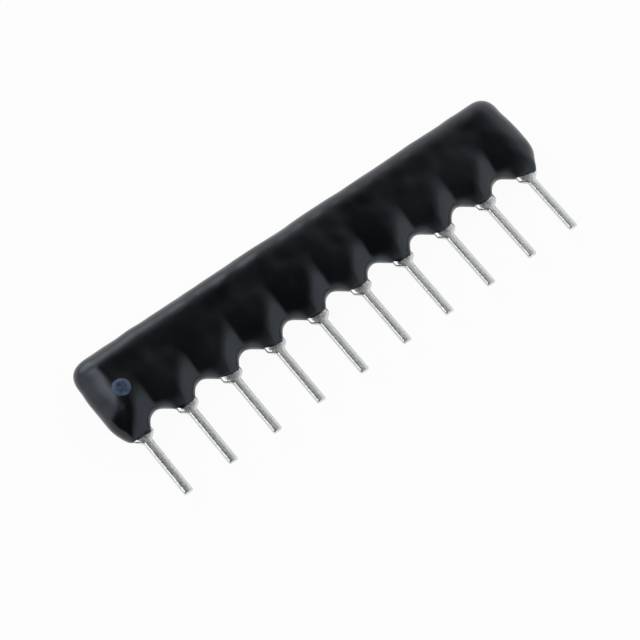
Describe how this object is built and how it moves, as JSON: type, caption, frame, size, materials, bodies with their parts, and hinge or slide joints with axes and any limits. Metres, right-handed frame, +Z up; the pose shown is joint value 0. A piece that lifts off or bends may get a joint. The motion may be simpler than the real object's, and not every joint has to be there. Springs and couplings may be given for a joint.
{
  "type": "resistor network",
  "caption": "Single-in-line resistor network: a dipped black body with a mound over each lead, scallops between, flat tinned leads in a row and a dot that marks the first lead.",
  "frame": {"origin": "bottom centre of the part's box as it lies on its back", "axes": "+X along the row from the first lead to the last, +Y from the lead tips to the body's top edge, +Z up out of the marked face"},
  "size_m": [0.025, 0.0081, 0.0023],
  "materials": {
    "epoxy": "gloss",
    "ink": "satin",
    "alumina": "matte",
    "silver_print": "satin",
    "glass_print": "gloss",
    "tinned_strip": "satin",
    "solder": "satin",
    "resistor_print": "matte"
  },
  "bodies": {
    "root": {"coating": "epoxy", "pin_1_dot": "ink", "substrate": "alumina", "common_bus": "silver_print", "overglaze": "glass_print", "lead_1": "tinned_strip", "lead_2": "tinned_strip", "lead_3": "tinned_strip", "lead_4": "tinned_strip", "lead_5": "tinned_strip", "lead_6": "tinned_strip", "lead_7": "tinned_strip", "lead_8": "tinned_strip", "lead_9": "tinned_strip", "lead_10": "tinned_strip", "solder_1": "solder", "solder_2": "solder", "solder_3": "solder", "solder_4": "solder", "solder_5": "solder", "solder_6": "solder", "solder_7": "solder", "solder_8": "solder", "solder_9": "solder", "solder_10": "solder", "pad_2": "silver_print", "pad_3": "silver_print", "pad_4": "silver_print", "pad_5": "silver_print", "pad_6": "silver_print", "pad_7": "silver_print", "pad_8": "silver_print", "pad_9": "silver_print", "pad_10": "silver_print", "resistor_1": "resistor_print", "resistor_2": "resistor_print", "resistor_3": "resistor_print", "resistor_4": "resistor_print", "resistor_5": "resistor_print", "resistor_6": "resistor_print", "resistor_7": "resistor_print", "resistor_8": "resistor_print", "resistor_9": "resistor_print"}
  },
  "joints": []
}
